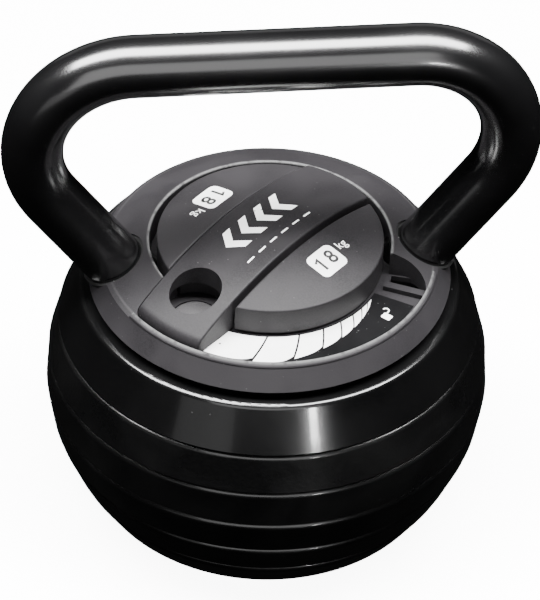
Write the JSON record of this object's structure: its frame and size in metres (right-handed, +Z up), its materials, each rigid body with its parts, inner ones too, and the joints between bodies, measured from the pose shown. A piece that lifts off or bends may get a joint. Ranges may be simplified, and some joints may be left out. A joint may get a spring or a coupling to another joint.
{
  "type": "kettlebell",
  "caption": "Adjustable kettlebell: bent tube handle, domed cover with a turning lock lever, stacked cast rings on a core tube.",
  "frame": {"origin": "centre of the base on the floor", "axes": "+Z up through the core; the lock lever points to the front left at rest, the handle runs along X turned 7 degrees"},
  "size_m": [0.2318, 0.2, 0.2452],
  "materials": {
    "handle_coat": "satin black powder coat on bent steel tube",
    "carrier_coat": "black powder coat on steel plate",
    "iron_enamel": "semi-gloss black enamel on cast iron",
    "cover_plastic": "fine-textured dark grey moulding",
    "knob_plastic": "fine-textured dark grey moulding",
    "lever_plastic": "fine-textured dark grey moulding",
    "label_film": "printed film, white marks on black",
    "print_white": "white pad print",
    "black_rubber": "matt rubber",
    "black_nylon": "moulded nylon",
    "zinc_steel": "zinc plated steel",
    "spring_steel": "oiled spring steel",
    "screw_steel": "blackened steel",
    "bronze": "sintered bronze"
  },
  "bodies": {
    "bell": {"handle": "handle_coat", "carrier_plate": "carrier_coat", "core_tube": "zinc_steel", "core_foot": "black_nylon", "shaft_bush": "bronze", "cover": "cover_plastic", "cover_screws": "screw_steel", "leg_collars": "black_rubber", "indicator_label": "label_film", "weight_plate_1": "iron_enamel", "weight_plate_2": "iron_enamel", "weight_plate_3": "iron_enamel", "weight_plate_4": "iron_enamel", "weight_plate_5": "iron_enamel", "base_plate": "iron_enamel", "foot_ring": "black_rubber", "button_spring": "spring_steel", "detent_spring": "spring_steel", "spring_posts": "zinc_steel"},
    "lever": {"knob_body": "knob_plastic", "lever_bar": "lever_plastic", "front_cap": "knob_plastic", "rear_cap": "knob_plastic", "cap_screws": "screw_steel", "shaft_screw": "screw_steel", "selector_shaft": "zinc_steel", "lock_lobes": "zinc_steel", "lobe_spacers": "black_nylon", "detent_cam": "black_nylon", "thrust_washer": "bronze", "retaining_ring": "spring_steel"},
    "button": {"release_button": "knob_plastic"}
  },
  "joints": [
    {"name": "lever_turn", "type": "hinge", "parent": "bell", "child": "lever", "pos_m": [0, 0, 0.12], "axis": [0, 0, 1], "range_deg": [0, 88], "deforming": ["detent_spring"]},
    {"name": "button_press", "type": "slide", "parent": "bell", "child": "button", "axis": [0, 0, -1], "range_m": [0, 0.0025], "stiffness_N_per_m": 900, "springref_m": -0.002, "deforming": ["button_spring"]}
  ]
}
